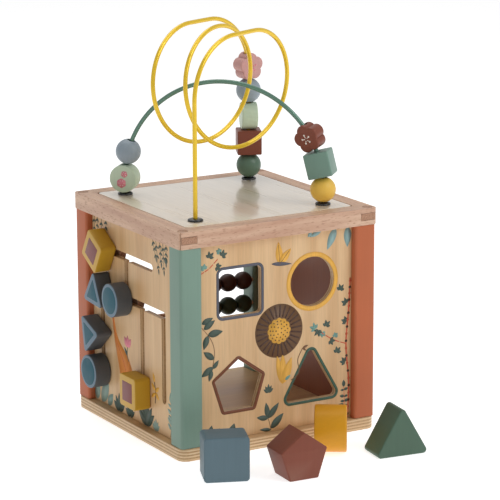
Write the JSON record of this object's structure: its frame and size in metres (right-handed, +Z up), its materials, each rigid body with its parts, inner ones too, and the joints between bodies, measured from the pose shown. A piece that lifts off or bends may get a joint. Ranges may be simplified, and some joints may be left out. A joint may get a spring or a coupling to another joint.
{
  "type": "activity cube with shape sorter",
  "caption": "Wooden activity cube with a shape-sorter panel, a slide maze with knobs, an abacus, a wire bead maze on top and loose blocks.",
  "frame": {"origin": "middle of the base board's underside, on the surface that the cube stands on", "axes": "+Z up; the sorter panel faces -Y, the slide maze faces -X, the abacus is in the open back, at +Y"},
  "size_m": [0.2123, 0.294, 0.3616],
  "materials": {
    "beech": "satin",
    "plywood": "satin",
    "sage_paint": "painted satin",
    "terracotta_paint": "painted satin",
    "dark_wood": "satin",
    "mint_paint": "painted satin",
    "grey_paint": "painted satin",
    "yellow_paint": "painted satin",
    "green_paint": "painted satin",
    "brown_paint": "painted satin",
    "pink_paint": "painted satin",
    "slate_paint": "painted satin",
    "knob_paint": "painted satin",
    "ochre_paint": "painted satin",
    "yellow_enamel": "gloss",
    "green_enamel": "gloss",
    "black_plastic": "gloss"
  },
  "bodies": {
    "cube": {"base_board": "plywood", "top_rail_front": "beech", "top_rail_back": "beech", "top_rail_left": "beech", "top_rail_right": "beech", "top_panel": "plywood", "post_front_left": "sage_paint", "post_front_right": "terracotta_paint", "post_back_left": "terracotta_paint", "post_back_right": "sage_paint", "sorter_panel": "plywood", "maze_panel": "plywood", "right_panel": "plywood", "corner_dowel_front_left": "dark_wood", "corner_dowel_front_right": "dark_wood", "corner_dowel_back_left": "dark_wood", "corner_dowel_back_right": "dark_wood", "wire_cap_front_left": "black_plastic", "wire_cap_front_right": "black_plastic", "wire_cap_back_left": "black_plastic", "wire_cap_back_right": "black_plastic", "loop_wire": "yellow_enamel", "arch_wire": "green_enamel", "abacus_rod_upper": "beech", "abacus_rod_lower": "beech"},
    "loop_green_ball_body": {"loop_green_ball": "green_paint"},
    "loop_brown_cube_body": {"loop_brown_cube": "brown_paint"},
    "loop_mint_disc_body": {"loop_mint_disc": "mint_paint"},
    "loop_grey_ball_body": {"loop_grey_ball": "grey_paint"},
    "loop_pink_flower_body": {"loop_pink_flower": "pink_paint"},
    "arch_yellow_ball_body": {"arch_yellow_ball": "yellow_paint"},
    "arch_sage_cube_body": {"arch_sage_cube": "sage_paint"},
    "arch_brown_flower_body": {"arch_brown_flower": "brown_paint"},
    "arch_mint_disc_body": {"arch_mint_disc": "mint_paint"},
    "arch_grey_ball_body": {"arch_grey_ball": "grey_paint"},
    "abacus_upper_1": {"abacus_bead_upper_1": "brown_paint"},
    "abacus_upper_2": {"abacus_bead_upper_2": "brown_paint"},
    "abacus_upper_3": {"abacus_bead_upper_3": "brown_paint"},
    "abacus_upper_4": {"abacus_bead_upper_4": "brown_paint"},
    "abacus_lower_1": {"abacus_bead_lower_1": "green_paint"},
    "abacus_lower_2": {"abacus_bead_lower_2": "green_paint"},
    "abacus_lower_3": {"abacus_bead_lower_3": "green_paint"},
    "abacus_lower_4": {"abacus_bead_lower_4": "green_paint"},
    "diamond_slider": {"diamond_knob": "ochre_paint", "diamond_retainer": "beech"},
    "upper_triangle_slider": {"upper_triangle_knob": "knob_paint", "upper_triangle_retainer": "beech"},
    "upper_round_slider": {"upper_round_knob": "knob_paint", "upper_round_retainer": "beech"},
    "lower_triangle_slider": {"lower_triangle_knob": "knob_paint", "lower_triangle_retainer": "beech"},
    "lower_round_slider": {"lower_round_knob": "knob_paint", "lower_round_retainer": "beech"},
    "square_slider": {"square_knob": "ochre_paint", "square_retainer": "beech"},
    "square_block_body": {"square_block": "slate_paint"},
    "pentagon_block_body": {"pentagon_block": "brown_paint"},
    "round_block_body": {"round_block": "yellow_paint"},
    "triangle_block_body": {"triangle_block": "green_paint"}
  },
  "joints": [
    {"name": "loop_green_ball_spin", "type": "hinge", "parent": "cube", "child": "loop_green_ball_body", "pos_m": [0.065, 0.065, 0.25], "axis": [0, 0, 1], "continuous": true},
    {"name": "loop_brown_cube_spin", "type": "hinge", "parent": "cube", "child": "loop_brown_cube_body", "pos_m": [0.065, 0.065, 0.25], "axis": [0, 0, 1], "continuous": true},
    {"name": "loop_mint_disc_spin", "type": "hinge", "parent": "cube", "child": "loop_mint_disc_body", "pos_m": [0.065, 0.065, 0.25], "axis": [0, 0, 1], "continuous": true},
    {"name": "loop_grey_ball_spin", "type": "hinge", "parent": "cube", "child": "loop_grey_ball_body", "pos_m": [0.065, 0.065, 0.25], "axis": [0, 0, 1], "continuous": true},
    {"name": "loop_pink_flower_travel", "type": "hinge", "parent": "cube", "child": "loop_pink_flower_body", "pos_m": [0.01489, 0.04774, 0.30661], "axis": [0.3256, -0.9455, 0], "range_deg": [0, 66]},
    {"name": "arch_yellow_ball_travel", "type": "hinge", "parent": "cube", "child": "arch_yellow_ball_body", "pos_m": [0, 0, 0.2186], "axis": [-0.7071, -0.7071, 0], "range_deg": [0, 25]},
    {"name": "arch_sage_cube_travel", "type": "hinge", "parent": "arch_yellow_ball_body", "child": "arch_sage_cube_body", "pos_m": [0, 0, 0.2186], "axis": [-0.7071, -0.7071, 0], "range_deg": [0, 25]},
    {"name": "arch_brown_flower_travel", "type": "hinge", "parent": "arch_sage_cube_body", "child": "arch_brown_flower_body", "pos_m": [0, 0, 0.2186], "axis": [-0.7071, -0.7071, 0], "range_deg": [0, 60]},
    {"name": "arch_mint_disc_travel", "type": "hinge", "parent": "cube", "child": "arch_mint_disc_body", "pos_m": [0, 0, 0.2186], "axis": [-0.7071, -0.7071, 0], "range_deg": [-45, 0]},
    {"name": "arch_grey_ball_travel", "type": "hinge", "parent": "arch_mint_disc_body", "child": "arch_grey_ball_body", "pos_m": [0, 0, 0.2186], "axis": [-0.7071, -0.7071, 0], "range_deg": [-60, 0]},
    {"name": "abacus_upper_1_slide", "type": "slide", "parent": "cube", "child": "abacus_upper_1", "axis": [-1, 0, 0], "range_m": [0, 0.02]},
    {"name": "abacus_upper_2_slide", "type": "slide", "parent": "abacus_upper_1", "child": "abacus_upper_2", "axis": [-1, 0, 0], "range_m": [0, 0.02]},
    {"name": "abacus_upper_3_slide", "type": "slide", "parent": "abacus_upper_2", "child": "abacus_upper_3", "axis": [-1, 0, 0], "range_m": [0, 0.02]},
    {"name": "abacus_upper_4_slide", "type": "slide", "parent": "abacus_upper_3", "child": "abacus_upper_4", "axis": [-1, 0, 0], "range_m": [0, 0.025]},
    {"name": "abacus_lower_1_slide", "type": "slide", "parent": "cube", "child": "abacus_lower_1", "axis": [-1, 0, 0], "range_m": [0, 0.02]},
    {"name": "abacus_lower_2_slide", "type": "slide", "parent": "abacus_lower_1", "child": "abacus_lower_2", "axis": [-1, 0, 0], "range_m": [0, 0.02]},
    {"name": "abacus_lower_3_slide", "type": "slide", "parent": "abacus_lower_2", "child": "abacus_lower_3", "axis": [-1, 0, 0], "range_m": [0, 0.02]},
    {"name": "abacus_lower_4_slide", "type": "slide", "parent": "abacus_lower_3", "child": "abacus_lower_4", "axis": [-1, 0, 0], "range_m": [0, 0.025]},
    {"name": "diamond_slide", "type": "slide", "parent": "cube", "child": "diamond_slider", "axis": [0, -1, 0], "range_m": [0, 0.082]},
    {"name": "upper_triangle_slide", "type": "slide", "parent": "cube", "child": "upper_triangle_slider", "axis": [0, -1, 0], "range_m": [-0.0105, 0.025]},
    {"name": "upper_round_slide", "type": "slide", "parent": "upper_triangle_slider", "child": "upper_round_slider", "axis": [0, -1, 0], "range_m": [0, 0.045]},
    {"name": "lower_round_slide", "type": "slide", "parent": "cube", "child": "lower_round_slider", "axis": [0, 0, 1], "range_m": [0, 0.006]},
    {"name": "lower_triangle_slide", "type": "slide", "parent": "lower_round_slider", "child": "lower_triangle_slider", "axis": [0, 0, 1], "range_m": [0, 0.007]},
    {"name": "square_slide", "type": "slide", "parent": "cube", "child": "square_slider", "axis": [0, 0, 1], "range_m": [0, 0.0755]},
    {"name": "square_block_lift", "type": "slide", "parent": "cube", "child": "square_block_body", "axis": [0, 0, 1], "range_m": [0, 0.06]},
    {"name": "pentagon_block_lift", "type": "slide", "parent": "cube", "child": "pentagon_block_body", "axis": [0, 0, 1], "range_m": [0, 0.06]},
    {"name": "round_block_lift", "type": "slide", "parent": "cube", "child": "round_block_body", "axis": [0, 0, 1], "range_m": [0, 0.06]},
    {"name": "triangle_block_lift", "type": "slide", "parent": "cube", "child": "triangle_block_body", "axis": [0, 0, 1], "range_m": [0, 0.06]}
  ]
}
